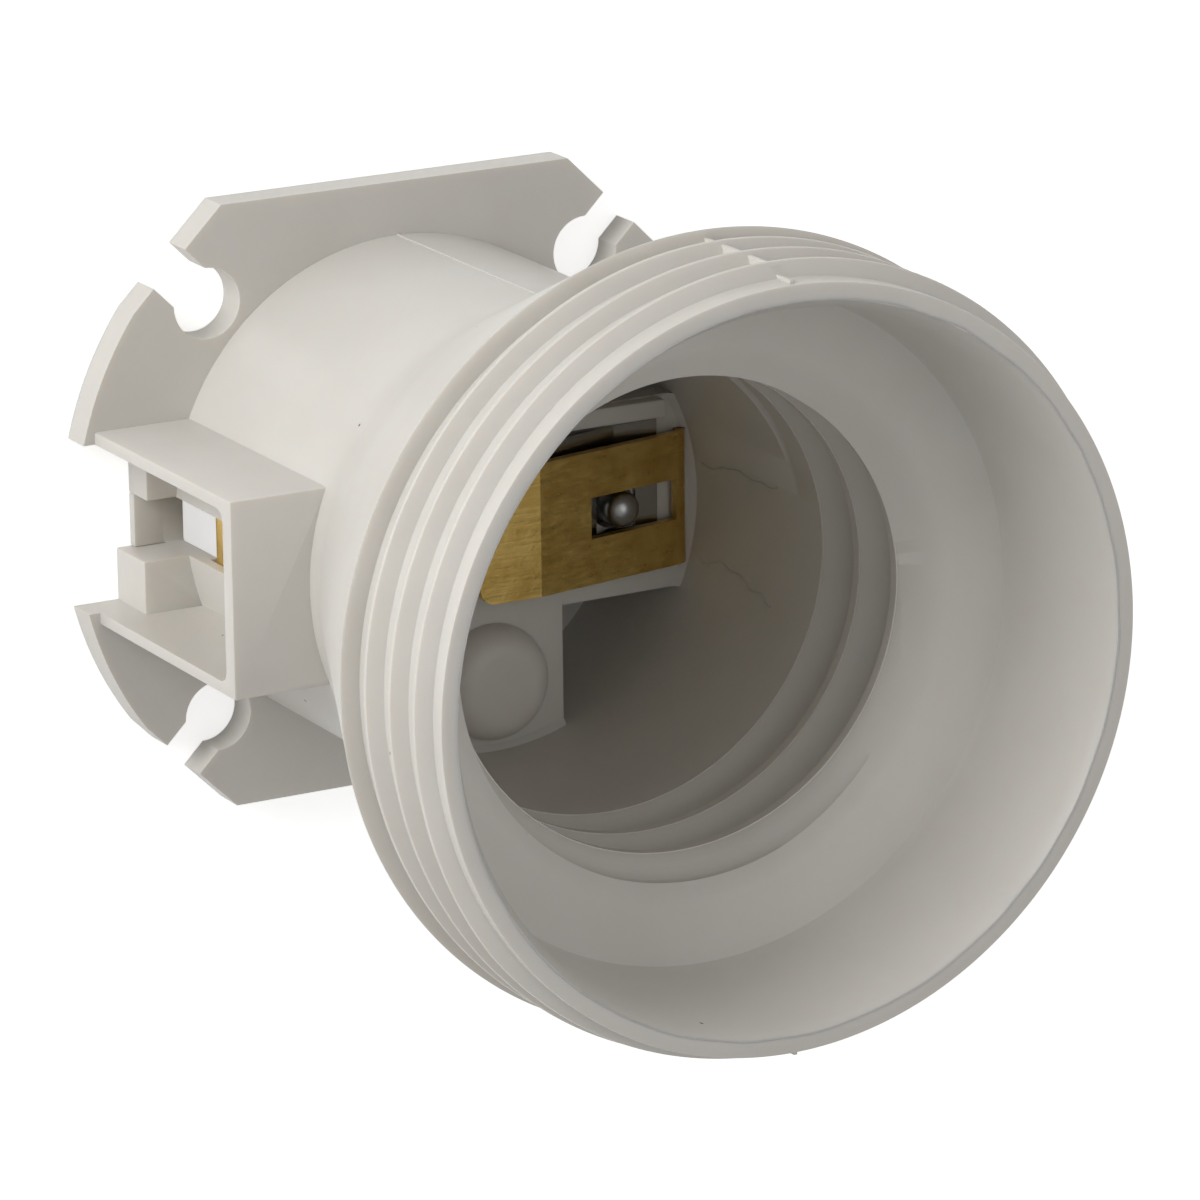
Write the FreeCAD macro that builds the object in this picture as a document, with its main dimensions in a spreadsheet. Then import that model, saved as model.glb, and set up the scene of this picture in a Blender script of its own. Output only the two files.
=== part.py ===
# Edison-screw lamp holder: a one-piece moulded body that carries two brass contacts, a steel
# backing spring and two screw terminals.
# Frame: +Z runs along the lamp axis towards the mouth, the origin is the centre of the mounting
# flange's back face, and the wire tunnels point to +X (centre contact) and -X (side contact).
import FreeCAD, Part
import math
import os
import re
import Sketcher
from FreeCAD import Vector

SIZES = {
    # body: neck, flare, skirt and rim
    "overall_height": 42.84,
    "neck_radius": 13.35,
    "flare_start": 18.6,
    "flare_radius": 8.0,
    "skirt_back": 34.34,
    "shoulder_step": 0.2,
    "crest_radius": 20.0,
    "ridge_depth": 0.78,
    "ridge_pitch": 2.5,
    "ridge_crest": 0.22,
    "ridge_front": 0.45,
    "ridge_back": 0.8,
    "ridge_start": 35.1,
    "ridge_turns": 2.8,
    "ridge_root_depth": 0.3,
    # mouth and lamp thread
    "rim_width": 0.9,
    "rim_chamfer": 0.96,
    "mouth_wall": 2.17,
    "mouth_taper": 0.44,
    "shelf_height": 33.95,
    "entry_radius": 14.12,
    "entry_height": 33.35,
    "bore_radius": 12.18,
    "thread_root_radius": 13.3,
    "thread_pitch": 3.629,
    "thread_start": 22.6,
    "thread_turns": 3.1,
    "thread_flank": 0.85,
    "entry_bottom": 32.0,
    "thread_root_width": 1.3,
    # flange
    "flange_thickness": 1.9,
    "flange_flat": 16.2,
    "flange_corner": 18.63,
    "lobe_radius": 18.87,
    "notch_spacing": 22.2,
    "notch_radius": 1.88,
    "notch_mouth": 2.6,
    # wire tunnels and the wire guides inside them
    "tunnel_root": 11.0,
    "tunnel_reach": 17.69,
    "tunnel_half_width": 5.15,
    "tunnel_height": 17.62,
    "tunnel_wall": 0.65,
    "tunnel_end_wall": 0.9,
    "tunnel_corner": 0.6,
    "guide_web": 0.6,
    "guide_reach": 15.0,
    "upper_guide_edge": 1.15,
    "upper_guide_height": 2.2,
    "lower_guide_edge": 1.7,
    "lower_guide_height": 3.4,
    "lower_guide_reach": 15.8,
    "entry_top": 8.2,
    # floor of the lamp bore
    "floor_height": 11.5,
    "pocket_side": 4.25,
    "pocket_edge": 5.0,
    "pocket_floor": 4.0,
    "rib_inner": 4.45,
    "rib_outer": 5.45,
    "rib_start": 3.0,
    "rib_end": 10.1,
    "rib_height": 0.8,
    "boss_offset": 8.45,
    "boss_radius": 3.1,
    "boss_rise": 1.6,
    "boss_taper": 40.0,
    # terminal chambers and cores in the back
    "chamber_inner": 3.9,
    "chamber_outer": 12.2,
    "chamber_half_width": 3.8,
    "core_size": 4.1,
    "core_depth": 9.8,
    "core_edge": 5.3,
    "core_right": 3.2,
    "core_wall": 1.3,
    "middle_core": 2.05,
    # contacts
    "strip_thickness": 0.5,
    "clamp_face": 4.7,
    "fit_gap": 0.05,
    "foot_end": 4.1,
    "foot_half_width": 3.2,
    "foot_neck": 1.6,
    "leaf_width": 7.1,
    "leaf_top": 2.54,
    "leaf_bend": 1.7,
    "leaf_end": 1.85,
    "leaf_drop": 1.8,
    "leaf_leg": 11.5,
    "leaf_slot_start": 5.0,
    "leaf_slot_end": 10.6,
    "leaf_corner": 0.9,
    "leaf_slot_width": 2.2,
    "side_width": 4.4,
    "side_leg": 12.6,
    "side_knee": 22.0,
    "side_rise": 1.3,
    "side_crest_height": 25.2,
    "side_top": 26.9,
    "side_swing": 0.75,
    "side_crest_reach": 12.75,
    "side_recess": 13.85,
    "collar_radius": 2.2,
    "collar_height": 2.0,
    # backing spring
    "spring_thickness": 0.3,
    "spring_start": 9.8,
    "spring_crease": 7.25,
    "spring_end": 1.6,
    "spring_lift": 1.55,
    "spring_inner_edge": 3.0,
    "spring_outer_edge": 4.3,
    "spring_hole_start": 6.0,
    "spring_hole_end": 8.5,
    # terminal screws and clamping plates
    "screw_offset": 7.25,
    "screw_radius": 1.45,
    "thread_clearance": 0.05,
    "screw_head_radius": 2.75,
    "screw_head_height": 1.8,
    "screw_head_bottom": 0.9,
    "screw_shank_top": 8.9,
    "screw_tip_radius": 0.95,
    "screw_tip_top": 13.3,
    "driver_slot_width": 0.9,
    "driver_slot_depth": 1.0,
    "tip_hole_radius": 1.25,
    "screw_tip_step": 0.4,
    "screw_head_bevel": 0.4,
    "screw_tip_bevel": 0.45,
    "side_tip_top": 9.6,
    "side_thread_shortening": 2.0,
    "shank_hole_top": 10.3,
    "side_hole_top": 11.0,
    "hole_clearance": 0.2,
    "clamp_thickness": 0.8,
    "clamp_length": 6.1,
    "clamp_width": 6.6,
    "clamp_corner": 0.4,
    "bend_radius": 0.35,
}

doc = FreeCAD.newDocument("LampHolder")
sheet = doc.addObject("Spreadsheet::Sheet", "Sizes")
for row, (alias, value) in enumerate(SIZES.items(), start=1):
    sheet.set(f"A{row}", alias.replace("_", " "))
    sheet.set(f"B{row}", str(value))
    sheet.setAlias(f"B{row}", alias)
doc.recompute()

ALIAS = re.compile(r"\b(" + "|".join(SIZES) + r")\b")


def sized(text):
    """An expression in the sheet's words, with each word pointed at its cell."""
    return ALIAS.sub(r"Sizes.\1", text)


def originPart(body, role):
    for feature in body.Origin.OriginFeatures:
        if feature.Role == role:
            return feature
    raise LookupError(role)


def newBody(label):
    body = doc.addObject("PartDesign::Body", label)
    body.Label = label
    return body


def newSketch(body, name, role, lift):
    sketch = body.newObject("Sketcher::SketchObject", name)
    sketch.AttachmentSupport = (originPart(body, role), [""])
    sketch.MapMode = "FlatFace"
    if lift:
        sketch.setExpression("AttachmentOffset.Base.z", sized(lift))
    return sketch


def place(sketch, point, across, up):
    """Holds a sketch point at two coordinates given as expressions."""
    for kind, axis, text in (("DistanceX", -2, across), ("DistanceY", -1, up)):
        if text == "0":
            sketch.addConstraint(Sketcher.Constraint("PointOnObject", point, 1, axis))
            continue
        index = sketch.addConstraint(Sketcher.Constraint(kind, -1, 1, point, 1, 1.0))
        sketch.setExpression(f"Constraints[{index}]", sized(text))


def outline(body, name, role, corners, lift="", arcs=()):
    """A closed outline through corners; arcs lists the sides that bulge, each with its radius."""
    sketch = newSketch(body, name, role, lift)
    radii = dict(arcs)
    points = []
    for across, up in corners:
        points.append(sketch.addGeometry(Part.Point(Vector(0, 0, 0)), True))
        place(sketch, points[-1], across, up)
    doc.recompute()
    for side, point in enumerate(points):
        following = points[(side + 1) % len(points)]
        start = sketch.getPoint(point, 1)
        end = sketch.getPoint(following, 1)
        if side in radii:
            outward = (start + end).normalize() * float(sheet.get(radii[side]))
            edge = Part.Arc(start, outward, end)
        else:
            edge = Part.LineSegment(start, end)
        drawn = sketch.addGeometry(edge)
        first, last = (1, 2)
        if side in radii and (sketch.getPoint(drawn, 1) - start).Length > 1e-6:
            first, last = (2, 1)
        sketch.addConstraint(Sketcher.Constraint("Coincident", drawn, first, point, 1))
        sketch.addConstraint(Sketcher.Constraint("Coincident", drawn, last, following, 1))
        if side in radii:
            index = sketch.addConstraint(Sketcher.Constraint("Radius", drawn, 1.0))
            sketch.setExpression(f"Constraints[{index}]", sized(radii[side]))
    return sketch


def circle(body, name, across, up, radius, lift=""):
    sketch = newSketch(body, name, "XY_Plane", lift)
    point = sketch.addGeometry(Part.Point(Vector(0, 0, 0)), True)
    place(sketch, point, across, up)
    ring = sketch.addGeometry(Part.Circle(Vector(0, 0, 0), Vector(0, 0, 1), 1.0))
    sketch.addConstraint(Sketcher.Constraint("Coincident", ring, 3, point, 1))
    index = sketch.addConstraint(Sketcher.Constraint("Radius", ring, 1.0))
    sketch.setExpression(f"Constraints[{index}]", sized(radius))
    return sketch


def rectangle(body, name, left, right, low, high, lift=""):
    corners = [(left, low), (right, low), (right, high), (left, high)]
    return outline(body, name, "XY_Plane", corners, lift)


def pad(body, name, sketch, length, midplane=False):
    feature = body.newObject("PartDesign::Pad", name)
    feature.Profile = sketch
    feature.Midplane = midplane
    feature.setExpression("Length", sized(length))
    return feature


def pocket(body, name, sketch, length):
    """Cuts from the sketch towards +Z."""
    feature = body.newObject("PartDesign::Pocket", name)
    feature.Profile = sketch
    feature.Reversed = True
    feature.setExpression("Length", sized(length))
    return feature


def turn(body, name, sketch, kind):
    feature = body.newObject(f"PartDesign::{kind}", name)
    feature.Profile = sketch
    feature.ReferenceAxis = (sketch, ["V_Axis"])
    feature.Angle = 360
    return feature


def wind(body, name, sketch, kind, pitch, turns):
    """Carries a sketched section along a right-hand helix about the lamp axis."""
    feature = body.newObject(f"PartDesign::{kind}Helix", name)
    feature.Profile = sketch
    feature.ReferenceAxis = (sketch, ["V_Axis"])
    feature.Mode = "pitch-turns-angle"
    feature.setExpression("Pitch", sized(pitch))
    feature.setExpression("Turns", sized(turns))
    return feature


def fillet(body, name, chosen, radius):
    """Rounds the edges of the body's tip for which chosen(edge) is true."""
    doc.recompute()
    tip = body.Tip
    edges = [f"Edge{n}" for n, edge in enumerate(tip.Shape.Edges, start=1) if chosen(edge)]
    feature = body.newObject("PartDesign::Fillet", name)
    feature.Base = (tip, edges)
    feature.setExpression("Radius", sized(radius))
    return feature


def number(alias):
    return float(sheet.get(alias))


def onCircle(edge, radius, height):
    curve = edge.Curve
    return (isinstance(curve, Part.Circle) and abs(curve.Radius - radius) < NEAR
            and abs(curve.Center.z - height) < NEAR)


def alongLine(edge, direction, **where):
    """True for a straight edge along direction whose middle has the given x, y or z."""
    if not isinstance(edge.Curve, Part.Line):
        return False
    if abs(abs(edge.Curve.Direction.dot(direction)) - 1) > NEAR:
        return False
    middle = edge.CenterOfMass
    return all(abs(getattr(middle, axis) - value) < NEAR for axis, value in where.items())


def box(body, name, cut, across, along, up):
    """A rectangular pad or cut between pairs of expressions for X, Y and Z."""
    sketch = rectangle(body, f"{name}_outline", *across, *along, lift=up[0])
    length = f"({up[1]}) - ({up[0]})"
    return pocket(body, name, sketch, length) if cut else pad(body, name, sketch, length)


def buildFlange(body):
    """Mounting flange: two flats, four cut corners, two round lobes, four keyhole notches."""
    corner = "flange_corner * sqrt(2)"
    spread = "sqrt(2 * lobe_radius ^ 2 - 2 * flange_corner ^ 2)"
    quarter = [(f"{corner} - flange_flat", "flange_flat"),
               (f"({corner} + {spread}) / 2", f"({corner} - {spread}) / 2")]
    corners = []
    for signX, signY in ((1, 1), (1, -1), (-1, -1), (-1, 1)):
        ends = quarter if signX == signY else quarter[::-1]
        corners += [(f"{signX} * ({x})", f"{signY} * ({y})") for x, y in ends]
    lobes = ((1, "lobe_radius"), (5, "lobe_radius"))
    pad(body, "flange", outline(body, "flange_outline", "XY_Plane", corners, arcs=lobes),
        "flange_thickness")

    middle = "notch_spacing / 2"
    eye = circle(body, "notch_eye_outline", middle, middle, "notch_radius")
    eyeCut = pocket(body, "notch_eye", eye, "flange_thickness")
    offset = "notch_mouth / 2 / sqrt(2)"
    mouth = [(f"{middle} - {offset}", f"{middle} + {offset}"),
             (f"{middle} + {offset}", f"{middle} - {offset}"),
             (f"lobe_radius + {offset}", f"lobe_radius - {offset}"),
             (f"lobe_radius - {offset}", f"lobe_radius + {offset}")]
    mouthSketch = outline(body, "notch_mouth_outline", "XY_Plane", mouth)
    mouthCut = pocket(body, "notch_mouth", mouthSketch, "flange_thickness")
    pattern = body.newObject("PartDesign::PolarPattern", "notches")
    pattern.Originals = [eyeCut, mouthCut]
    pattern.Axis = (originPart(body, "Z_Axis"), [""])
    pattern.Angle = 360
    pattern.Occurrences = 4
    body.Tip = pattern


def buildTunnels(body):
    """A square hood on each side, open outwards and at the back, with its wire guides."""
    for side, sign in SIDES:
        inner = "tunnel_half_width - tunnel_wall"
        box(body, f"{side}_tunnel", False, (f"{sign} * tunnel_root", f"{sign} * tunnel_reach"),
            ("-tunnel_half_width", "tunnel_half_width"), ("0", "tunnel_height"))
        near = f"{sign} * sqrt(neck_radius ^ 2 - ({inner}) ^ 2)"
        far = f"{sign} * (lobe_radius + tunnel_wall)"
        corners = [(near, f"-({inner})"), (far, f"-({inner})"), (far, inner), (near, inner)]
        hollow = outline(body, f"{side}_hollow_outline", "XY_Plane", corners,
                         arcs=((3, "neck_radius"),))
        pocket(body, f"{side}_hollow", hollow, "tunnel_height - tunnel_end_wall")
        roof = number("tunnel_height") - number("tunnel_end_wall")
        fillet(body, f"{side}_tunnel_corners",
               lambda edge: alongLine(edge, X_AXIS, z=roof) and edge.CenterOfMass.x * sign > 0,
               "tunnel_corner")
        box(body, f"{side}_guide_web", False,
            (f"{sign} * tunnel_root", f"{sign} * guide_reach"),
            ("-lower_guide_edge", "upper_guide_edge"), ("0", "guide_web"))
        box(body, f"{side}_upper_guide", False,
            (f"{sign} * tunnel_root", f"{sign} * guide_reach"),
            ("upper_guide_edge", inner), ("0", "upper_guide_height"))
        box(body, f"{side}_lower_guide", False,
            (f"{sign} * tunnel_root", f"{sign} * lower_guide_reach"),
            (f"-({inner})", "-lower_guide_edge"), ("0", "lower_guide_height"))


def buildOuterForm(body):
    """Neck, flare and skirt as one turned profile."""
    root = "(crest_radius - ridge_depth)"
    profile = [("0", "0"), ("neck_radius", "0"), ("neck_radius", "flare_start"),
               ("crest_radius + shoulder_step", "skirt_back"), (root, "skirt_back"),
               (root, "overall_height"), ("0", "overall_height")]
    turn(body, "outer_form", outline(body, "outer_profile", "XZ_Plane", profile), "Revolution")
    fillet(body, "flare_blend",
           lambda edge: onCircle(edge, number("neck_radius"), number("flare_start")),
           "flare_radius")


def buildLampBore(body):
    """Mouth, shelf, thread entry and bore as one turned cut."""
    mouth = "crest_radius - mouth_wall"
    profile = [("0", "floor_height"), ("bore_radius", "floor_height"),
               ("bore_radius", "entry_bottom"), ("entry_radius", "entry_height"),
               (f"{mouth} - mouth_taper", "shelf_height"),
               (mouth, "overall_height - rim_chamfer"),
               ("crest_radius - ridge_depth - rim_width", "overall_height"),
               ("0", "overall_height")]
    turn(body, "lamp_bore", outline(body, "bore_profile", "XZ_Plane", profile), "Groove")


def buildFloor(body):
    """Step pockets beside the centre contact's seat, its side rib and a round boss."""
    for side, sign, edge in (("lower", -1, "pocket_edge"), ("upper", 1, "rib_outer")):
        corners = [("pocket_side", f"{sign} * {edge}"),
                   (f"sqrt(bore_radius ^ 2 - {edge} ^ 2)", f"{sign} * {edge}"),
                   ("pocket_side", f"{sign} * sqrt(bore_radius ^ 2 - pocket_side ^ 2)")]
        sketch = outline(body, f"{side}_pocket_outline", "XY_Plane", corners, "pocket_floor",
                         arcs=((1, "bore_radius"),))
        pocket(body, f"{side}_pocket", sketch, "floor_height - pocket_floor")
    box(body, "seat_rib", False, ("-rib_start", "rib_end"), ("rib_inner", "rib_outer"),
        ("floor_height", "floor_height + rib_height"))
    boss = circle(body, "boss_outline", "0", "-boss_offset", "boss_radius", "floor_height")
    dome = pad(body, "boss", boss, "boss_rise")
    dome.setExpression("TaperAngle", sized("-boss_taper"))


def buildTerminalChambers(body):
    """Chambers in the back, with the screw bores, wire entries and contact slots above them."""
    roof = "clamp_face + strip_thickness"
    for side, sign in SIDES:
        axis = f"{sign} * screw_offset"
        box(body, f"{side}_chamber", True,
            (f"{sign} * chamber_inner", f"{sign} * chamber_outer"),
            ("-chamber_half_width", "chamber_half_width"), ("0", roof))
        box(body, f"{side}_wire_entry", True,
            (f"{sign} * tunnel_root", f"{sign} * (neck_radius + fit_gap)"),
            ("-lower_guide_edge", "upper_guide_edge"), ("guide_web", "entry_top"))
        tipTop = "floor_height" if side == "centre" else "side_hole_top"
        bores = (("collar", "collar_radius + hole_clearance", f"{roof} + collar_height + fit_gap"),
                 ("shank", "screw_radius + hole_clearance", "shank_hole_top"),
                 ("tip", "tip_hole_radius", tipTop))
        for part, radius, top in bores:
            sketch = circle(body, f"{side}_{part}_bore_outline", axis, "0", radius, roof)
            pocket(body, f"{side}_{part}_bore", sketch, f"({top}) - ({roof})")
    slotHalf = "leaf_width / 2 + fit_gap"
    box(body, "leaf_slot", True,
        ("leaf_leg - strip_thickness - fit_gap", "leaf_leg + fit_gap"),
        (f"-({slotHalf})", slotHalf), (roof, "floor_height"))
    bendTop = f"{roof} + bend_radius + fit_gap"
    box(body, "leaf_slot_foot", True,
        ("leaf_leg - strip_thickness - bend_radius - fit_gap", "leaf_leg + fit_gap"),
        (f"-({slotHalf})", slotHalf), (roof, bendTop))
    slotHalf = "side_width / 2 + fit_gap"
    box(body, "side_slot_foot", True,
        ("-(side_leg + fit_gap)", "-(side_leg - strip_thickness - bend_radius - fit_gap)"),
        (f"-({slotHalf})", slotHalf), ("clamp_face - fit_gap", bendTop))
    box(body, "side_leg_slot", True,
        ("-(side_leg + fit_gap)", "-(side_leg - strip_thickness - fit_gap)"),
        (f"-({slotHalf})", slotHalf), ("clamp_face - fit_gap", "side_knee"))
    box(body, "side_recess", True, ("-side_recess", "-tunnel_root"),
        (f"-({slotHalf})", slotHalf), ("side_knee - side_rise / 2", "side_top + side_rise / 2"))


def buildCores(body):
    """Blind cores that keep the moulding's walls even; they open at the back only."""
    box(body, "middle_core", True, ("-middle_core", "middle_core"),
        ("-chamber_half_width", "chamber_half_width"), ("0", "core_depth"))
    for column in range(2):
        right = f"core_right - {column} * (core_size + core_wall)"
        for row, sign in (("lower", -1), ("upper", 1)):
            box(body, f"{row}_core_{column + 1}", True, (f"{right} - core_size", right),
                (f"{sign} * core_edge", f"{sign} * (core_edge + core_size)"), ("0", "core_depth"))


def buildThreads(body):
    """The shade ring's thread, wound on the skirt, and the lamp thread's groove in the bore."""
    root = "crest_radius - ridge_depth"
    low = "ridge_start - ridge_back"
    high = "ridge_start + ridge_crest + ridge_front"
    ridge = [(f"{root} - ridge_root_depth", low), (root, low), ("crest_radius", "ridge_start"),
             ("crest_radius", "ridge_start + ridge_crest"), (root, high),
             (f"{root} - ridge_root_depth", high)]
    wind(body, "ridge", outline(body, "ridge_profile", "XZ_Plane", ridge), "Additive",
         "ridge_pitch", "ridge_turns")
    inside = "bore_radius - ridge_root_depth"
    half = "thread_root_width / 2"
    groove = [(inside, f"thread_start - {half} - thread_flank"),
              ("thread_root_radius", f"thread_start - {half}"),
              ("thread_root_radius", f"thread_start + {half}"),
              (inside, f"thread_start + {half} + thread_flank")]
    wind(body, "lamp_thread", outline(body, "groove_profile", "XZ_Plane", groove),
         "Subtractive", "thread_pitch", "thread_turns")


def buildHolderBody():
    body = newBody("holder_body")
    buildOuterForm(body)
    buildFlange(body)
    buildTunnels(body)
    buildLampBore(body)
    buildFloor(body)
    buildTerminalChambers(body)
    buildCores(body)
    buildThreads(body)


def addTerminalCollar(body, sign):
    """The drawn and tapped collar that the terminal screw runs in."""
    axis = f"{sign} * screw_offset"
    collar = circle(body, "collar_outline", axis, "0", "collar_radius",
                    "clamp_face + strip_thickness")
    pad(body, "collar", collar, "collar_height")
    hole = circle(body, "tapped_hole_outline", axis, "0", "screw_radius + thread_clearance",
                  "clamp_face")
    pocket(body, "tapped_hole", hole, "strip_thickness + collar_height")


def roundBends(body, bends):
    """Rounds the folds of a strip: the inside of each fold, then its outside."""
    for index, (x, z, radius) in enumerate(bends, start=1):
        fillet(body, f"bend_{index}", lambda edge: alongLine(edge, Y_AXIS, x=x, z=z), radius)


def buildCentreContact():
    """Brass strip: tapped foot, leg through the floor, and the sloping leaf under the lamp."""
    body = newBody("centre_contact")
    top = "(floor_height + leaf_top)"
    slope = "leaf_drop / (leaf_leg - leaf_bend)"
    inner = "leaf_leg - strip_thickness"
    profile = [("foot_end", "clamp_face"), ("leaf_leg", "clamp_face"),
               ("leaf_leg", f"{top} - leaf_drop"), ("leaf_bend", top),
               ("-leaf_end", top), ("-leaf_end", f"{top} - strip_thickness"),
               ("leaf_bend", f"{top} - strip_thickness"),
               (inner, f"{top} - leaf_drop + {slope} * strip_thickness - strip_thickness"),
               (inner, "clamp_face + strip_thickness"),
               ("foot_end", "clamp_face + strip_thickness")]
    pad(body, "strip", outline(body, "strip_profile", "XZ_Plane", profile), "leaf_width", True)
    box(body, "leaf_slot", True, ("leaf_slot_start", "leaf_slot_end"),
        ("-leaf_slot_width / 2", "leaf_slot_width / 2"), ("floor_height", top))
    thickness = number("strip_thickness")
    leg = number("leaf_leg")
    low = number("clamp_face")
    high = number("floor_height") + number("leaf_top") - number("leaf_drop")
    fall = number("leaf_drop") / (leg - number("leaf_bend")) * thickness
    roundBends(body, ((leg - thickness, low + thickness, "bend_radius"),
                      (leg, low, "bend_radius + strip_thickness"),
                      (leg - thickness, high + fall - thickness, "bend_radius"),
                      (leg, high, "bend_radius + strip_thickness")))
    fillet(body, "leaf_corners",
           lambda edge: alongLine(edge, Z_AXIS, x=-number("leaf_end")), "leaf_corner")
    addTerminalCollar(body, 1)


def buildSideContact():
    """Brass strip that runs up the bore wall and bows inwards to meet the lamp's shell."""
    body = newBody("side_contact")
    outer = [("side_leg", "clamp_face"), ("side_leg", "side_knee"),
             ("side_leg + side_swing", "side_knee + side_rise"),
             ("side_crest_reach", "side_crest_height"), ("side_leg + side_swing", "side_top")]
    inner = [(f"{x} - strip_thickness", z) for x, z in reversed(outer[1:])]
    inner.append(("side_leg - strip_thickness", "clamp_face + strip_thickness"))
    profile = [("foot_end", "clamp_face"), *outer, *inner,
               ("foot_end", "clamp_face + strip_thickness")]
    profile = [(f"-({x})", z) for x, z in profile]
    pad(body, "strip", outline(body, "strip_profile", "XZ_Plane", profile), "side_width", True)
    box(body, "foot", False, ("-foot_end", "-(side_leg - foot_neck)"),
        ("-foot_half_width", "foot_half_width"), ("clamp_face", "clamp_face + strip_thickness"))
    thickness = number("strip_thickness")
    leg = number("side_leg")
    low = number("clamp_face")
    roundBends(body, ((thickness - leg, low + thickness, "bend_radius"),
                      (-leg, low, "bend_radius + strip_thickness")))
    addTerminalCollar(body, -1)


def buildCentreSpring():
    """Spring-steel strip that lies on the seat and rises under the brass leaf."""
    body = newBody("centre_spring")
    under = [("spring_start", "floor_height"), ("spring_crease", "floor_height"),
             ("spring_end", "floor_height + spring_lift")]
    over = [(x, f"{z} + spring_thickness") for x, z in reversed(under)]
    sketch = outline(body, "spring_profile", "XZ_Plane", under + over, "-spring_outer_edge")
    pad(body, "strip", sketch, "spring_outer_edge + spring_inner_edge")
    box(body, "tip_hole", True, ("spring_hole_start", "spring_hole_end"),
        ("-tip_hole_radius", "tip_hole_radius"),
        ("floor_height", "floor_height + spring_lift"))


def buildScrew(label, sign, tipTop):
    """Slotted terminal screw, head towards the back, with a plain tapered tip."""
    body = newBody(label)
    headTop = "screw_head_bottom + screw_head_height"
    shankTop = f"screw_shank_top - ({sunk(tipTop)})"
    profile = [("0", "screw_head_bottom"),
               ("screw_head_radius - screw_head_bevel", "screw_head_bottom"),
               ("screw_head_radius", "screw_head_bottom + screw_head_bevel"),
               ("screw_head_radius", headTop), ("screw_radius", headTop),
               ("screw_radius", shankTop), ("screw_tip_radius", f"{shankTop} + screw_tip_step"),
               ("screw_tip_radius", f"{tipTop} - screw_tip_bevel"),
               ("screw_tip_radius / 2", tipTop), ("0", tipTop)]
    turn(body, "form", outline(body, "profile", "XZ_Plane", profile), "Revolution")
    box(body, "driver_slot", True, ("-screw_head_radius", "screw_head_radius"),
        ("-driver_slot_width / 2", "driver_slot_width / 2"),
        ("screw_head_bottom", "screw_head_bottom + driver_slot_depth"))
    body.setExpression("Placement.Base.x", sized(f"{sign} * screw_offset"))


def sunk(tipTop):
    """How much shorter this screw's thread is than the long one's."""
    return "0" if tipTop == "screw_tip_top" else "side_thread_shortening"


def buildClampPlate(label, sign):
    """Square plate under the screw head that presses the wire on the contact's foot."""
    body = newBody(label)
    low = "screw_head_bottom + screw_head_height + fit_gap"
    box(body, "plate", False, ("-clamp_length / 2", "clamp_length / 2"),
        ("-clamp_width / 2", "clamp_width / 2"), (low, f"{low} + clamp_thickness"))
    hole = circle(body, "hole_outline", "0", "0", "screw_radius + hole_clearance", low)
    pocket(body, "hole", hole, "clamp_thickness")
    fillet(body, "corners", lambda edge: alongLine(edge, Z_AXIS), "clamp_corner")
    body.setExpression("Placement.Base.x", sized(f"{sign} * screw_offset"))


def checkModel():
    for item in doc.Objects:
        if "Invalid" in item.State or "Error" in item.State:
            raise RuntimeError(f"{item.Name} failed: {item.State}")
    for body in bodies():
        if body.Shape.isNull() or not body.Shape.isValid() or len(body.Shape.Solids) != 1:
            raise RuntimeError(f"{body.Label} is not one valid solid")


def bodies():
    return [item for item in doc.Objects if item.TypeId == "PartDesign::Body"]


NEAR = 1e-4
X_AXIS = Vector(1, 0, 0)
Y_AXIS = Vector(0, 1, 0)
Z_AXIS = Vector(0, 0, 1)
SIDES = (("centre", 1), ("side", -1))

buildHolderBody()
buildCentreContact()
buildSideContact()
buildCentreSpring()
buildScrew("centre_screw", 1, "screw_tip_top")
buildScrew("side_screw", -1, "side_tip_top")
buildClampPlate("centre_clamp", 1)
buildClampPlate("side_clamp", -1)
doc.recompute()
checkModel()
os.makedirs("parts", exist_ok=True)
for body in bodies():
    body.Shape.exportStep(f"parts/{body.Label}.step")
    print(body.Label, round(body.Shape.Volume, 2), len(body.Shape.Faces), "faces")
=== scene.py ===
import bpy
import math
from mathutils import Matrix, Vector, noise


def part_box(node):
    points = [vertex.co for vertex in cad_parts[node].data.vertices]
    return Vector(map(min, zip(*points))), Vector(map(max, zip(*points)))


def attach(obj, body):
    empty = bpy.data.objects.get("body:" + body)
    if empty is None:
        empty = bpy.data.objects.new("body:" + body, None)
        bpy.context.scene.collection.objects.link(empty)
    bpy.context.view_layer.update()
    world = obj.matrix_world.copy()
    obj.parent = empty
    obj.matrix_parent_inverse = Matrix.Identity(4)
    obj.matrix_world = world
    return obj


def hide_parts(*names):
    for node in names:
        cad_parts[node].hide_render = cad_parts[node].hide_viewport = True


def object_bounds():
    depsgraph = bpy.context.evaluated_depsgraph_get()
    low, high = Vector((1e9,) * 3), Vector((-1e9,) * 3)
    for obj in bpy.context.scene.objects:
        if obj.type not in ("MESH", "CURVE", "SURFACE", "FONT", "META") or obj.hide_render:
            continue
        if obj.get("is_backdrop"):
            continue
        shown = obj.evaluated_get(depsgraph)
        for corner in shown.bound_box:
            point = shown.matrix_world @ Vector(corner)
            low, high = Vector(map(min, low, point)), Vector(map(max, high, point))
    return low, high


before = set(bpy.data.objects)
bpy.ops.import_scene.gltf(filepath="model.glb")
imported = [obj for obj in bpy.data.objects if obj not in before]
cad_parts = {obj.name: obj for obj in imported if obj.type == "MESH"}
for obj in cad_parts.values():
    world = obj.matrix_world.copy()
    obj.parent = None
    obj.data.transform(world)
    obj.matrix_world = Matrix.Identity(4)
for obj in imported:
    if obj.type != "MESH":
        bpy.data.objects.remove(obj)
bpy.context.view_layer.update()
mm = 0.001
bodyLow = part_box("holder_body")[0]


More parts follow.
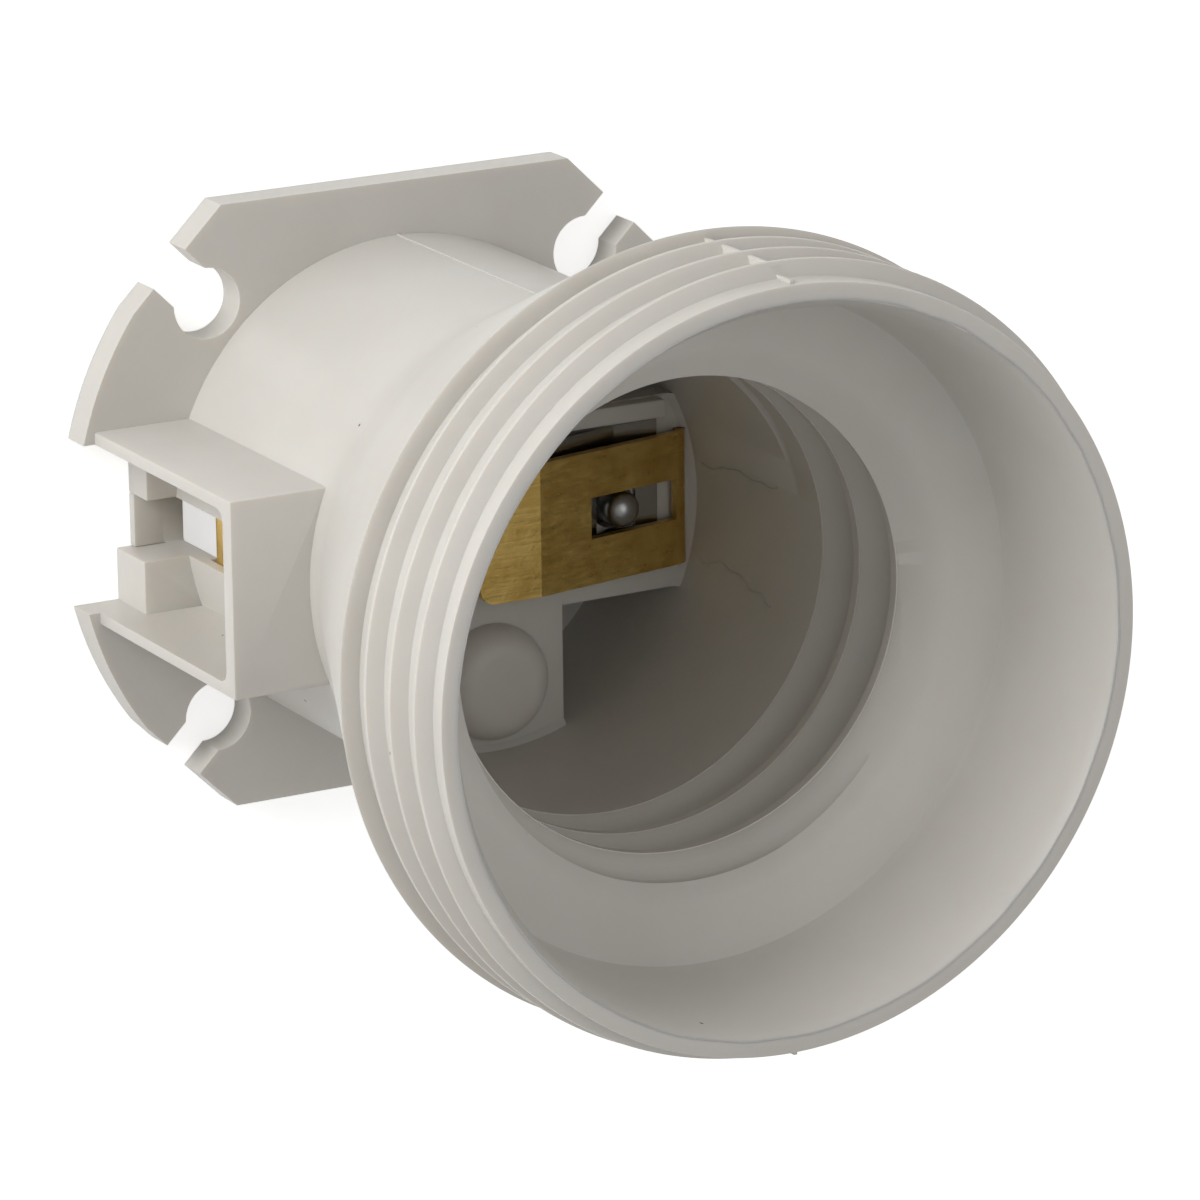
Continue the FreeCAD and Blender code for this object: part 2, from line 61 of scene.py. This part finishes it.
def deselectAll():
    if bpy.context.mode != "OBJECT":
        bpy.ops.object.mode_set(mode="OBJECT")
    bpy.ops.object.select_all(action="DESELECT")


def pick(piece):
    deselectAll()
    piece.select_set(True)
    bpy.context.view_layer.objects.active = piece


def settle(piece, name):  # place and size go into the mesh
    pick(piece)
    bpy.ops.object.transform_apply(location=True, rotation=True, scale=True)
    piece.name = name
    return piece


def applyModifier(piece, modifier):
    pick(piece)
    bpy.ops.object.modifier_apply(modifier=modifier.name)


def roundEdges(piece, width, segments=2, angle=30):
    bevel = piece.modifiers.new("rounding", "BEVEL")
    bevel.width = width * mm
    bevel.segments = segments
    bevel.limit_method = "ANGLE"
    bevel.angle_limit = math.radians(angle)
    applyModifier(piece, bevel)


def addBlock(name, low, high, rounding=0.0):
    deselectAll()
    middle = [(a + b) / 2 * mm for a, b in zip(low, high)]
    bpy.ops.mesh.primitive_cube_add(size=1, location=middle)
    block = bpy.context.object
    block.scale = [(b - a) * mm for a, b in zip(low, high)]
    settle(block, name)
    if rounding:
        roundEdges(block, rounding)
    return block


def addRod(name, centre, radius, low, high, sides=64):
    deselectAll()
    place = (centre[0] * mm, centre[1] * mm, (low + high) / 2 * mm)
    bpy.ops.mesh.primitive_cylinder_add(vertices=sides, radius=radius * mm,
                                        depth=(high - low) * mm, location=place)
    return settle(bpy.context.object, name)


def drawProfile(name, corners, closed=False):  # corners are radius and height in mm
    deselectAll()
    bpy.ops.mesh.primitive_plane_add(size=mm)
    piece = bpy.context.object
    piece.name = name
    bpy.ops.object.mode_set(mode="EDIT")
    bpy.ops.mesh.select_all(action="SELECT")
    bpy.ops.mesh.merge(type="CENTER")
    here = Vector((0, 0, 0))
    for index, (across, up) in enumerate(corners):
        step = Vector((across * mm, 0, up * mm)) - here
        if index == 0:
            bpy.ops.transform.translate(value=step)
        else:
            bpy.ops.mesh.extrude_region_move(TRANSFORM_OT_translate={"value": step})
        here += step
    if closed:
        bpy.ops.mesh.select_all(action="SELECT")
        bpy.ops.mesh.edge_face_add()
        bpy.ops.mesh.delete(type="ONLY_FACE")
    return piece


def cleanShell():
    bpy.ops.mesh.select_all(action="SELECT")
    bpy.ops.mesh.remove_doubles(threshold=1e-7)
    bpy.ops.mesh.normals_make_consistent(inside=False)
    bpy.ops.object.mode_set(mode="OBJECT")


def turnProfile(name, corners, steps=240):  # a lathe turn about the lamp axis
    piece = drawProfile(name, corners)
    bpy.ops.mesh.select_all(action="SELECT")
    bpy.ops.mesh.spin(steps=steps, angle=2 * math.pi, center=(0, 0, 0), axis=(0, 0, 1))
    cleanShell()
    return piece


def windThread(name, corners, pitch, turns, fadeTurns, sink, steps=240):  # its ends run out into the wall
    piece = drawProfile(name, corners, closed=True)
    bpy.ops.object.mode_set(mode="OBJECT")
    screw = piece.modifiers.new("winding", "SCREW")
    screw.angle = 2 * math.pi * turns
    screw.screw_offset = pitch * turns * mm
    screw.steps = screw.render_steps = round(steps * turns)
    screw.use_smooth_shade = False
    applyModifier(piece, screw)
    for vertex in piece.data.vertices:
        done = vertex.index // len(corners) / steps
        near = min(done / fadeTurns[0], (turns - done) / fadeTurns[1], 1)
        reach = math.hypot(vertex.co.x, vertex.co.y)
        shrink = 1 - sink * mm * (1 - near) / reach
        vertex.co.x *= shrink
        vertex.co.y *= shrink
    bpy.ops.object.mode_set(mode="EDIT")
    bpy.ops.mesh.select_all(action="SELECT")
    bpy.ops.mesh.fill_holes(sides=0)
    cleanShell()
    return piece


def drawBead(name, points, radius):  # a thin raised line through points in mm
    deselectAll()
    bpy.ops.curve.primitive_bezier_curve_add()
    bead = bpy.context.object
    bead.name = name
    bead.data.splines.clear()
    spline = bead.data.splines.new("POLY")
    spline.points.add(len(points) - 1)
    for target, point in zip(spline.points, points):
        target.co = (*[v * mm for v in point], 1)
    bead.data.bevel_depth = radius * mm
    bead.data.bevel_resolution = 2
    bead.data.use_fill_caps = True
    bpy.ops.object.convert(target="MESH")
    return settle(bpy.context.object, name)


def combine(target, tools, operation):
    pick(tools[0])
    for tool in tools[1:]:
        tool.select_set(True)
    if len(tools) > 1:
        bpy.ops.object.join()
    tool = bpy.context.object
    joint = target.modifiers.new("combine", "BOOLEAN")
    joint.operation = operation
    joint.object = tool
    joint.solver = "EXACT"
    joint.use_self = True
    applyModifier(target, joint)
    bpy.data.objects.remove(tool)


def smooth(piece, angle=32):
    pick(piece)
    bpy.ops.object.shade_smooth_by_angle(angle=math.radians(angle))


def linearColour(code):
    channels = [int(code[i:i + 2], 16) / 255 for i in (1, 3, 5)]
    linear = [c / 12.92 if c <= 0.04045 else ((c + 0.055) / 1.055) ** 2.4 for c in channels]
    return (*linear, 1)


def addNode(tree, kind, links=None, **settings):
    node = tree.nodes.new(kind)
    for key, value in settings.items():
        if key.startswith("in_"):
            socket = int(key[3:]) if key[3:].isdigit() else key[3:].replace("_", " ")
            node.inputs[socket].default_value = value
        else:
            setattr(node, key, value)
    for target, source in (links or {}).items():
        tree.links.new(source, node.inputs[target])
    return node


# camera, light and floor
camera = {
    "place": (-170.403, 102.186, 334.356),  # mm
    "turn": (-15.86642, -28.91649, -0.78137),  # degrees
    "lens": 220.749,
}
deselectAll()
bpy.ops.object.camera_add(location=[v * mm for v in camera["place"]],
                          rotation=[math.radians(v) for v in camera["turn"]])
cameraObject = bpy.context.object
cameraObject.data.lens = camera["lens"]
cameraObject.data.sensor_width = 36
cameraObject.data.clip_start = 0.01
bpy.context.scene.camera = cameraObject

studio = {
    "lamps": {  # where each softbox stands (mm), its size (mm) and power (W)
        "keyLamp": ((-420, 250, 90), 300, 1.9),
        "frontLamp": ((60, 60, 480), 260, 0.2),
        "rightLamp": ((420, -60, 160), 300, 0.12),
    },
    "worldLevel": 0.4,
    "floorSize": 3000,
    "floorLift": 0.6,  # what the floor adds for the camera, so that it reads as white paper
}
for lampName, (place, size, power) in studio["lamps"].items():
    deselectAll()
    bpy.ops.object.light_add(type="AREA", location=[v * mm for v in place])
    lamp = bpy.context.object
    lamp.name = lampName
    lamp.data.shape = "SQUARE"
    lamp.data.size = size * mm
    lamp.data.energy = power
    aim = Vector((0, 0, 0.025)) - lamp.location
    lamp.rotation_euler = aim.to_track_quat("-Z", "Y").to_euler()

world = bpy.data.worlds.new("softRoom")
bpy.context.scene.world = world
world.use_nodes = True
world.node_tree.nodes["Background"].inputs[0].default_value = linearColour("#FFFFFF")
world.node_tree.nodes["Background"].inputs[1].default_value = studio["worldLevel"]

deselectAll()
bpy.ops.mesh.primitive_plane_add(size=studio["floorSize"] * mm, location=(0, 0, bodyLow[2] - 0.00002))
floor = settle(bpy.context.object, "paperFloor")
paper = bpy.data.materials.new("mattePaperSweep")  # flat white paper, no sheen
paper.use_nodes = True
tree = paper.node_tree
shader = tree.nodes["Principled BSDF"]
shader.inputs["Base Color"].default_value = linearColour("#F4F4F3")
shader.inputs["Roughness"].default_value = 0.9
shader.inputs["Specular IOR Level"].default_value = 0.1
shader.inputs["Emission Color"].default_value = linearColour("#FFFFFF")
path = addNode(tree, "ShaderNodeLightPath")
cameraOrGloss = addNode(tree, "ShaderNodeMath",
                        {0: path.outputs["Is Camera Ray"], 1: path.outputs["Is Glossy Ray"]}, operation="ADD")
anyView = addNode(tree, "ShaderNodeMath", {0: cameraOrGloss.outputs[0], 1: path.outputs["Is Transmission Ray"]},
                  operation="ADD", use_clamp=True)
lift = addNode(tree, "ShaderNodeMath", {0: anyView.outputs[0]}, operation="MULTIPLY",
               in_1=studio["floorLift"])
tree.links.new(lift.outputs[0], shader.inputs["Emission Strength"])
floor.data.materials.append(paper)
floor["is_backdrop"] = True
bpy.context.scene.view_settings.view_transform = "Standard"
print("stage and camera are set")

# the moulded body is a solid turned form with flange and tunnels joined, then hollowed
holder = {
    "height": 42.84, "neckRadius": 13.35, "flareStart": 18.6, "flareRadius": 8.0,
    "skirtBack": 34.34, "skirtRadius": 20.2, "ridgeRoot": 19.22, "crestRadius": 20.0,
    "ridgePitch": 2.5, "ridgeStart": 35.1, "ridgeBack": 0.8, "ridgeFront": 0.45, "ridgeCrest": 0.22,
    "ridgeTurns": 2.8, "rimInner": 18.32,
    "mouthRadius": 17.83, "shelfRadius": 17.39, "shelfHeight": 33.95, "entryRadius": 14.12,
    "entryHeight": 33.35, "boreRadius": 12.18, "threadRoot": 13.3, "threadPitch": 3.629,
    "threadStart": 22.6, "threadTurns": 3.1,
    "floorHeight": 11.5,
}


def flareProfile(part):  # the neck, its blend into the cone, and the shoulder
    slope = math.atan2(part["skirtRadius"] - part["neckRadius"], part["skirtBack"] - part["flareStart"])
    reach = part["flareRadius"] * math.tan(slope / 2)
    low = part["flareStart"] - reach
    points = [(0, 0), (part["neckRadius"], 0), (part["neckRadius"], low)]
    for step in range(1, 9):
        angle = slope * step / 8
        points.append((part["neckRadius"] + part["flareRadius"] * (1 - math.cos(angle)),
                       low + part["flareRadius"] * math.sin(angle)))
    return points


top = holder["height"]
outer = flareProfile(holder) + [
    (holder["skirtRadius"] - 0.06, holder["skirtBack"] - 0.12),
    (holder["skirtRadius"], holder["skirtBack"]),
    (holder["skirtRadius"] - 0.1, holder["skirtBack"] + 0.07),
    (holder["ridgeRoot"], holder["skirtBack"] + 0.12), (holder["ridgeRoot"], top - 0.12),
    (holder["ridgeRoot"] - 0.03, top - 0.03), (holder["ridgeRoot"] - 0.12, top), (0, top)]
mouldedBody = turnProfile("moulded_body", outer)

flangeShape = {"thickness": 1.9, "flat": 16.2, "corner": 18.63, "lobeRadius": 18.87, "cornerRadius": 19.5,
               "cornerSpan": 12.5, "notchPlace": 11.1, "notchRadius": 1.88, "notchHalfWidth": 1.3}
tunnelShape = {"root": 11, "reach": 17.69, "halfWidth": 5.15, "height": 17.62, "rounding": 0.12,
               "hollowHalfWidth": 4.5, "hollowTop": 16.72, "hollowRounding": 0.6}
wingLong = addRod("flangeLobes", (0, 0), flangeShape["lobeRadius"], 0, flangeShape["thickness"], sides=240)
wingCorner = addRod("flangeCorners", (0, 0), flangeShape["cornerRadius"], 0, flangeShape["thickness"],
                    sides=240)


def sliceAway(piece, point, normal):
    pick(piece)
    bpy.ops.object.mode_set(mode="EDIT")
    bpy.ops.mesh.select_all(action="SELECT")
    bpy.ops.mesh.bisect(plane_co=[v * mm for v in point], plane_no=normal, use_fill=True,
                        clear_outer=True)
    bpy.ops.object.mode_set(mode="OBJECT")


for wing in (wingLong, wingCorner):
    for sign in (1, -1):
        sliceAway(wing, (0, flangeShape["flat"] * sign, 0), (0, sign, 0))
        for cross in (1, -1):
            diagonal = flangeShape["corner"] / math.sqrt(2)
            sliceAway(wing, (diagonal * sign, diagonal * cross, 0), (sign, cross, 0))
for sign in (1, -1):
    sliceAway(wingCorner, (flangeShape["cornerSpan"] * sign, 0, 0), (sign, 0, 0))
flange = wingLong


def span(sign, near, far):  # a stretch along X on one side of the axis
    return (near, far) if sign > 0 else (-far, -near)


tunnels = []
for s in (1, -1):
    x = span(s, tunnelShape["root"], tunnelShape["reach"])
    tunnels.append(addBlock("tunnel", (x[0], -tunnelShape["halfWidth"], 0),
                            (x[1], tunnelShape["halfWidth"], tunnelShape["height"]), tunnelShape["rounding"]))
combine(flange, [wingCorner, *tunnels], "UNION")

cuts = []
for s in (1, -1):
    x = span(s, 9, 22)
    cuts.append(addBlock("tunnelHollow", (x[0], -tunnelShape["hollowHalfWidth"], -3),
                         (x[1], tunnelShape["hollowHalfWidth"], tunnelShape["hollowTop"]),
                         tunnelShape["hollowRounding"]))
for signX in (1, -1):
    for signY in (1, -1):
        eyeX, eyeY = flangeShape["notchPlace"] * signX, flangeShape["notchPlace"] * signY
        eye = addRod("notchEye", (eyeX, eyeY), flangeShape["notchRadius"], -1, 3)
        mouth = addBlock("notchMouth", (0, -flangeShape["notchHalfWidth"], -1),
                         (12, flangeShape["notchHalfWidth"], 3))
        mouth.rotation_euler.z = math.atan2(signY, signX)
        mouth.location = (eyeX * mm, eyeY * mm, 0)
        cuts += [eye, settle(mouth, "notchMouth")]
combine(flange, cuts, "DIFFERENCE")
print("flange and tunnels are cut", len(flange.data.polygons))

root = holder["ridgeRoot"]
crest = holder["crestRadius"]
base = holder["ridgeStart"]
low = base - holder["ridgeBack"]
high = base + holder["ridgeCrest"] + holder["ridgeFront"]
ridge = windThread("ridge", [(root - 0.3, low), (root, low), (crest - 0.16, base - 0.16),
                             (crest - 0.04, base - 0.03), (crest, base + 0.11), (crest - 0.04, base + 0.24),
                             (crest - 0.16, base + 0.33), (root, high), (root - 0.3, high)],
                   holder["ridgePitch"], holder["ridgeTurns"], (0.1, 0.2), 0.9)
guides = []
for s in (1, -1):
    for low, high, reach, height in ((-1.7, 1.15, 15.0, 0.6), (1.15, 4.6, 15.0, 2.2), (-4.6, -1.7, 15.8, 3.4)):
        x = span(s, 12.5, reach)
        guides.append(addBlock("guide", (x[0], low, 0), (x[1], high, height), 0.1))
flash = []  # the thin fin that the two mould halves leave across the thread and over the neck
for sign in (1, -1):
    fin = addBlock("flash", (-0.06, 12.5, 1.7), (0.06, 13.41, 17.5))
    finTop = addBlock("flash", (-0.1, 18.8, 34.2), (0.1, 19.8, 41.1))
    finRim = addBlock("flash", (-0.1, 18.8, 41.0), (0.1, 19.4, 42.6))
    for piece in (fin, finTop, finRim):
        if sign < 0:
            piece.rotation_euler.z = math.pi
        flash.append(settle(piece, "flash"))
combine(mouldedBody, [flange, ridge, *guides, *flash], "UNION")
print("outside is joined", len(mouldedBody.data.polygons))

bore = [(0, holder["floorHeight"]), (holder["boreRadius"] - 0.3, holder["floorHeight"]),
        (holder["boreRadius"], holder["floorHeight"] + 0.3), (holder["boreRadius"], 32.0),
        (holder["entryRadius"] - 0.75, holder["entryHeight"] - 0.5),
        (holder["entryRadius"] - 0.15, holder["entryHeight"] - 0.08),
        (holder["entryRadius"] + 0.25, holder["entryHeight"] + 0.05),
        (holder["shelfRadius"] - 0.75, holder["shelfHeight"] - 0.08),
        (holder["shelfRadius"] - 0.25, holder["shelfHeight"] + 0.12),
        (holder["shelfRadius"], holder["shelfHeight"] + 0.6),
        (holder["mouthRadius"], top - 0.96), (holder["rimInner"], top),
        (holder["rimInner"], top + 1), (0, top + 1)]
boreCut = turnProfile("bore", bore)
middle = (holder["boreRadius"] + holder["threadRoot"]) / 2
swing = (holder["threadRoot"] - holder["boreRadius"]) / 2
section = [(middle + swing * math.cos(2 * math.pi * z / holder["threadPitch"]), holder["threadStart"] + z)
           for z in (-1.55, -1.3, -1.0, -0.7, -0.35, 0, 0.35, 0.7, 1.0, 1.3, 1.55)]
section += [(holder["boreRadius"] - 0.6, holder["threadStart"] + z) for z in (1.55, -1.55)]
groove = windThread("groove", section, holder["threadPitch"], holder["threadTurns"], (0.3, 0.02), 1.25)
cuts = [boreCut, groove]
for s in (1, -1):
    x = span(s, 3.9, 12.2)
    cuts.append(addBlock("chamber", (x[0], -3.8, -1), (x[1], 3.8, 5.2)))
    x = span(s, 11.0, 13.45)
    cuts.append(addBlock("wireEntry", (x[0], -1.7, 0.6), (x[1], 1.15, 8.2), 0.1))
    cuts.append(addRod("collarBore", (7.25 * s, 0), 2.4, 5, 7.25))
    cuts.append(addRod("shankBore", (7.25 * s, 0), 1.65, 5, 10.3))
    cuts.append(addRod("tipBore", (7.25 * s, 0), 1.25, 5, 11.0 if s < 0 else 12.5))
cuts.append(addBlock("leafSlot", (10.95, -3.6, 5), (11.55, 3.6, 12)))
cuts.append(addBlock("sideLegSlot", (-12.65, -2.25, 4.65), (-12.05, 2.25, 22.0)))
cuts.append(addBlock("sideRecess", (-13.85, -2.25, 21.35), (-11.0, 2.25, 27.55)))
cuts.append(addBlock("middleCore", (-2.05, -3.8, -1), (2.05, 3.8, 9.8)))
for right in (3.2, -2.2):
    for sign in (1, -1):
        cuts.append(addBlock("core", (right - 4.1, min(5.3 * sign, 9.4 * sign), -1),
                             (right, max(5.3 * sign, 9.4 * sign), 9.8)))
combine(mouldedBody, cuts, "DIFFERENCE")
print("bore and chambers are cut", len(mouldedBody.data.polygons))

for edge in (-5.0, 5.45):  # the sunk steps beside the contact's seat
    stepPocket = addRod("stepPocket", (0, 0), 12.19, 4.0, 12.0, sides=240)
    sliceAway(stepPocket, (4.25, 0, 0), (-1, 0, 0))
    sliceAway(stepPocket, (0, edge, 0), (0, -math.copysign(1, edge), 0))
    combine(mouldedBody, [stepPocket], "DIFFERENCE")
rib = addBlock("seatRib", (-3.0, 4.45, 11.3), (10.1, 5.45, 12.3), 0.15)
boss = addRod("boss", (0, -8.45), 3.1, 10.2, 13.1, sides=96)
roundEdges(boss, 1.55, segments=10)
combine(mouldedBody, [rib, boss], "UNION")

beads = []  # flow lines on the bore wall and the wavy flash along the rim's inner edge
for startAngle, drift in ((9, 2.0), (-14, -4.5)):
    line = []
    for step in range(25):
        share = step / 24
        wander = 0.9 * noise.noise(Vector((share * 5, startAngle, 0.3)))
        angle = math.radians(startAngle + drift * share + wander * 3)
        line.append((holder["boreRadius"] * math.cos(angle), holder["boreRadius"] * math.sin(angle),
                     12.6 + 8.0 * share))
    beads.append(drawBead("flowLine", line, 0.055))
rimFlash = []
for step in range(361):
    angle = math.radians(step)
    round3d = Vector((math.cos(angle), math.sin(angle), 0))
    ripple = noise.noise(round3d * 9) * 0.07 + noise.noise(round3d * 40) * 0.03
    rimFlash.append((*(round3d * (holder["rimInner"] + 0.05 + ripple)).xy, top - 0.03))
beads.append(drawBead("rimFlash", rimFlash, 0.05))
pick(mouldedBody)
for bead in beads:
    bead.select_set(True)
bpy.context.view_layer.objects.active = mouldedBody
bpy.ops.object.join()
smooth(mouldedBody)
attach(mouldedBody, "root")
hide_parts("holder_body")
print("body is finished", len(mouldedBody.data.polygons))

# terminal screws: slotted head, rolled thread and a rounded plain tip
screwShape = {"headRadius": 2.75, "headLow": 0.9, "headTop": 2.7, "shankRadius": 1.45, "threadDepth": 0.22,
              "pitch": 0.5, "tipRadius": 0.95, "slotWidth": 0.9, "slotDepth": 1.0}


def turnScrew(name, place, shankTop, tipTop, part):
    core = part["shankRadius"] - part["threadDepth"]
    corners = [(0, part["headLow"]), (part["headRadius"] - 0.4, part["headLow"]),
               (part["headRadius"] - 0.12, part["headLow"] + 0.12), (part["headRadius"], part["headLow"] + 0.4),
               (part["headRadius"], part["headTop"]), (part["shankRadius"], part["headTop"])]
    ribs = int((shankTop - part["headTop"] - 0.3) / part["pitch"])
    for rib in range(ribs):
        low = part["headTop"] + 0.1 + rib * part["pitch"]
        corners += [(core, low + 0.06), (core, low + 0.14), (part["shankRadius"], low + 0.34),
                    (part["shankRadius"], low + 0.44)]
    corners += [(core, shankTop), (part["tipRadius"], shankTop + 0.4)]
    for step in range(9):  # the rounded tip
        angle = math.pi / 2 * step / 8
        corners.append((part["tipRadius"] * math.cos(angle), tipTop - 0.7 + 0.7 * math.sin(angle)))
    corners[-1] = (0, tipTop)
    screw = turnProfile(name, corners, steps=96)
    slot = addBlock("driverSlot", (-3, -part["slotWidth"] / 2, 0),
                    (3, part["slotWidth"] / 2, part["headLow"] + part["slotDepth"]))
    combine(screw, [slot], "DIFFERENCE")
    screw.location.x = place * mm
    settle(screw, name)
    smooth(screw, 40)
    return screw


screws = []
for node, place, shankTop, tipTop in (("centre_screw", 7.25, 8.9, 13.3), ("side_screw", -7.25, 6.9, 9.6)):
    screw = turnScrew(node + "_turned", place, shankTop, tipTop, screwShape)
    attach(screw, node)
    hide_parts(node)
    screws.append(screw)
print("screws are turned")


def newFinish(name, colour, roughness, metallic=0.0):
    finish = bpy.data.materials.new(name)
    finish.use_nodes = True
    shader = finish.node_tree.nodes["Principled BSDF"]
    shader.inputs["Base Color"].default_value = linearColour(colour)
    shader.inputs["Roughness"].default_value = roughness
    shader.inputs["Metallic"].default_value = metallic
    return finish, finish.node_tree, shader


def paint(node, finish):
    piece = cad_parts[node]
    piece.data.materials.clear()
    piece.data.materials.append(finish)


# urea compound, compression moulded: satin off-white, slightly cloudy, with stray dark specks
ureaLook = {"pale": "#D8D5CF", "cloudy": "#CFCBC4", "speck": "#4A4038", "cloudSize": 5.0, "grainSize": 0.3,
            "speckSpacing": 4.5, "speckRadius": 0.11}
moulding, tree, shader = newFinish("ureaMouldedSatin", ureaLook["pale"], 0.42)
shader.inputs["Subsurface Weight"].default_value = 0.3
shader.inputs["Subsurface Radius"].default_value = (1.0, 0.68, 0.46)
shader.inputs["Subsurface Scale"].default_value = 0.9 * mm
place = addNode(tree, "ShaderNodeTexCoord").outputs["Object"]
cloud = addNode(tree, "ShaderNodeTexNoise", {"Vector": place}, in_Scale=1 / (ureaLook["cloudSize"] * mm),
                in_Detail=4.0)
tone = addNode(tree, "ShaderNodeMix", {0: cloud.outputs["Fac"]}, data_type="RGBA",
               in_6=linearColour(ureaLook["pale"]), in_7=linearColour(ureaLook["cloudy"]))
cells = addNode(tree, "ShaderNodeTexVoronoi", {"Vector": place}, in_Scale=1 / (ureaLook["speckSpacing"] * mm))
inside = addNode(tree, "ShaderNodeMath", {0: cells.outputs["Distance"]}, operation="LESS_THAN",
                 in_1=ureaLook["speckRadius"] / ureaLook["speckSpacing"])
chance = addNode(tree, "ShaderNodeSeparateColor", {0: cells.outputs["Color"]})
rare = addNode(tree, "ShaderNodeMath", {0: chance.outputs[0]}, operation="GREATER_THAN", in_1=0.5)
speck = addNode(tree, "ShaderNodeMath", {0: inside.outputs[0], 1: rare.outputs[0]}, operation="MULTIPLY")
surface = addNode(tree, "ShaderNodeMix", {0: speck.outputs[0], 6: tone.outputs[2]}, data_type="RGBA",
                  in_7=linearColour(ureaLook["speck"]))
tree.links.new(surface.outputs[2], shader.inputs["Base Color"])
grain = addNode(tree, "ShaderNodeTexNoise", {"Vector": place}, in_Scale=1 / (ureaLook["grainSize"] * mm),
                in_Detail=3.0)
bump = addNode(tree, "ShaderNodeBump", {"Height": grain.outputs["Fac"]}, in_Strength=0.35, in_Distance=0.02 * mm)
tree.links.new(bump.outputs[0], shader.inputs["Normal"])
mouldedBody.data.materials.clear()
mouldedBody.data.materials.append(moulding)

# brass strip, rolled and stamped: golden, with fine rolling scratches and small pits
brassLook = {"bright": "#E3C375", "worn": "#CBA658", "scratch": (60, 1400, 1400), "pitSize": 0.35}
brass, tree, shader = newFinish("brassRolledStamped", brassLook["bright"], 0.34, 1.0)
place = addNode(tree, "ShaderNodeTexCoord").outputs["Object"]
stretched = addNode(tree, "ShaderNodeMapping", {"Vector": place}, in_Scale=brassLook["scratch"])
scratch = addNode(tree, "ShaderNodeTexNoise", {"Vector": stretched.outputs[0]}, in_Scale=4.0, in_Detail=5.0)
patch = addNode(tree, "ShaderNodeTexNoise", {"Vector": place}, in_Scale=1 / (1.4 * mm), in_Detail=5.0)
wear = addNode(tree, "ShaderNodeMapRange", {0: patch.outputs["Fac"]}, in_1=0.35, in_2=0.75)
tone = addNode(tree, "ShaderNodeMix", {0: wear.outputs[0]}, data_type="RGBA",
               in_6=linearColour(brassLook["bright"]), in_7=linearColour(brassLook["worn"]))
tree.links.new(tone.outputs[2], shader.inputs["Base Color"])
rough = addNode(tree, "ShaderNodeMapRange", {0: scratch.outputs["Fac"]}, in_1=0.3, in_2=0.7, in_3=0.26, in_4=0.5)
tree.links.new(rough.outputs[0], shader.inputs["Roughness"])
pits = addNode(tree, "ShaderNodeTexNoise", {"Vector": place}, in_Scale=1 / (brassLook["pitSize"] * mm),
               in_Detail=2.0)
relief = addNode(tree, "ShaderNodeMath", {0: scratch.outputs["Fac"], 1: pits.outputs["Fac"]}, operation="ADD")
bump = addNode(tree, "ShaderNodeBump", {"Height": relief.outputs[0]}, in_Strength=0.4, in_Distance=0.03 * mm)
tree.links.new(bump.outputs[0], shader.inputs["Normal"])
for node in ("centre_contact", "side_contact"):
    paint(node, brass)

# spring steel, rolled bright: plain grey with a clear sheen along the rolling
springSteel, tree, shader = newFinish("springSteelRolled", "#A8A7A4", 0.22, 1.0)
place = addNode(tree, "ShaderNodeTexCoord").outputs["Object"]
drawn = addNode(tree, "ShaderNodeMapping", {"Vector": place}, in_Scale=(80, 1500, 1500))
lines = addNode(tree, "ShaderNodeTexNoise", {"Vector": drawn.outputs[0]}, in_Scale=3.0, in_Detail=3.0)
bump = addNode(tree, "ShaderNodeBump", {"Height": lines.outputs["Fac"]}, in_Strength=0.2, in_Distance=0.01 * mm)
tree.links.new(bump.outputs[0], shader.inputs["Normal"])
paint("centre_spring", springSteel)

# steel, turned or stamped, then zinc plated: grey, slightly uneven shine
zinc, tree, shader = newFinish("steelZincPlated", "#A6A6A5", 0.3, 1.0)
place = addNode(tree, "ShaderNodeTexCoord").outputs["Object"]
uneven = addNode(tree, "ShaderNodeTexNoise", {"Vector": place}, in_Scale=1 / (0.8 * mm), in_Detail=3.0)
rough = addNode(tree, "ShaderNodeMapRange", {0: uneven.outputs["Fac"]}, in_3=0.22, in_4=0.42)
tree.links.new(rough.outputs[0], shader.inputs["Roughness"])
for node in ("centre_clamp", "side_clamp"):
    paint(node, zinc)
for piece in screws:
    piece.data.materials.clear()
    piece.data.materials.append(zinc)
print("finishes are on")

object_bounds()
